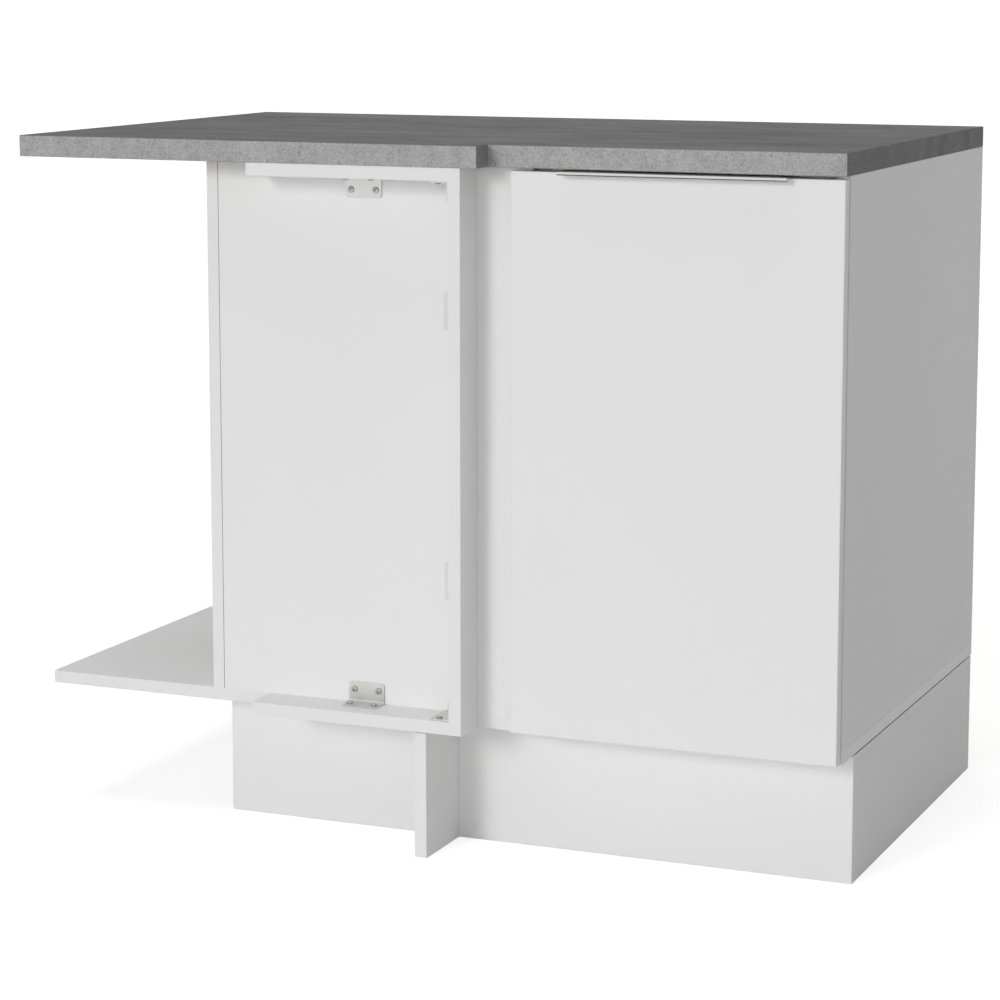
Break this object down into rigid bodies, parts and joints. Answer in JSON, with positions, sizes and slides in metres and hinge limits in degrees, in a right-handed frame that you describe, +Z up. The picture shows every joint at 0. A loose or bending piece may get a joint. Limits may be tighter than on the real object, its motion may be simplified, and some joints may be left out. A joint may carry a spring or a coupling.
{
  "type": "corner base cabinet",
  "caption": "Corner base cabinet: notched worktop, hinged door beside a blind panel, open corner bay, filler post and plinth boards on levelling legs.",
  "frame": {"origin": "on the floor, under the middle of the worktop's outline", "axes": "+X to the right along the front, +Y back to the wall, +Z up"},
  "size_m": [1, 0.633, 0.82],
  "materials": {
    "white_board": "white melamine-faced chipboard with edge banding",
    "white_front": "matt white melamine-faced door front",
    "white_hardboard": "white lacquered hardboard",
    "worktop_laminate": "concrete-look laminate on chipboard",
    "handle_aluminium": "satin anodised profile",
    "bracket_steel": "zinc-plated pressed steel",
    "hinge_steel": "nickel-plated pressed steel",
    "screw_steel": "zinc-plated steel",
    "zinc_casting": "die-cast zinc",
    "black_plastic": "moulded black plastic",
    "clear_bumper": "soft clear pad",
    "beech_dowel": "fluted beech"
  },
  "bodies": {
    "carcass": {"back_panel": "white_hardboard", "blind_panel": "white_board", "bottom_panel": "white_board", "bracket_foot_strip": "bracket_steel", "bracket_head_strip": "bracket_steel", "bracket_plinth_corner": "bracket_steel", "bracket_plinth_return": "bracket_steel", "bracket_post_foot": "bracket_steel", "bracket_post_head": "bracket_steel", "bracket_post_high": "bracket_steel", "bracket_post_low": "bracket_steel", "bracket_screws": "screw_steel", "cam_bolts": "screw_steel", "cam_locks": "zinc_casting", "dowels": "beech_dowel", "filler_bottom_strip": "white_board", "filler_panel": "white_board", "filler_top_strip": "white_board", "front_top_rail": "white_board", "hinge_arm_screws": "screw_steel", "hinge_plate_screws": "screw_steel", "leg_socket_screws": "screw_steel", "leg_sockets": "black_plastic", "lower_hinge_arm": "hinge_steel", "lower_hinge_plate": "hinge_steel", "partition_panel": "white_board", "plinth_clip_screws": "screw_steel", "plinth_clips": "black_plastic", "plinth_front": "white_board", "plinth_return": "white_board", "plinth_side": "white_board", "rear_top_rail": "white_board", "right_side_panel": "white_board", "shelf_pins": "screw_steel", "upper_hinge_arm": "hinge_steel", "upper_hinge_plate": "hinge_steel", "worktop": "worktop_laminate", "worktop_screws": "screw_steel"},
    "door": {"door": "white_front", "door_handle": "handle_aluminium", "handle_screws": "screw_steel", "door_bumpers": "clear_bumper", "lower_hinge_cup": "hinge_steel", "upper_hinge_cup": "hinge_steel", "lower_hinge_pin": "hinge_steel", "upper_hinge_pin": "hinge_steel", "hinge_cup_screws": "screw_steel"},
    "shelf": {"shelf": "white_board"},
    "foot_centre_front": {"foot_centre_front": "black_plastic"},
    "foot_centre_rear": {"foot_centre_rear": "black_plastic"},
    "foot_left_rear": {"foot_left_rear": "black_plastic"},
    "foot_right_front": {"foot_right_front": "black_plastic"},
    "foot_right_rear": {"foot_right_rear": "black_plastic"}
  },
  "joints": [
    {"name": "door_hinge", "type": "hinge", "parent": "carcass", "child": "door", "pos_m": [0.4925, -0.2795, 0.4715], "axis": [0, 0, 1], "range_deg": [0, 95]},
    {"name": "shelf_lift", "type": "slide", "parent": "carcass", "child": "shelf", "axis": [0, 0, 1], "range_m": [0, 0.06]},
    {"name": "foot_centre_front_screw", "type": "slide", "parent": "carcass", "child": "foot_centre_front", "axis": [0, 0, -1], "range_m": [-0.008, 0.02]},
    {"name": "foot_centre_rear_screw", "type": "slide", "parent": "carcass", "child": "foot_centre_rear", "axis": [0, 0, -1], "range_m": [-0.008, 0.02]},
    {"name": "foot_left_rear_screw", "type": "slide", "parent": "carcass", "child": "foot_left_rear", "axis": [0, 0, -1], "range_m": [-0.008, 0.02]},
    {"name": "foot_right_front_screw", "type": "slide", "parent": "carcass", "child": "foot_right_front", "axis": [0, 0, -1], "range_m": [-0.008, 0.02]},
    {"name": "foot_right_rear_screw", "type": "slide", "parent": "carcass", "child": "foot_right_rear", "axis": [0, 0, -1], "range_m": [-0.008, 0.02]}
  ]
}
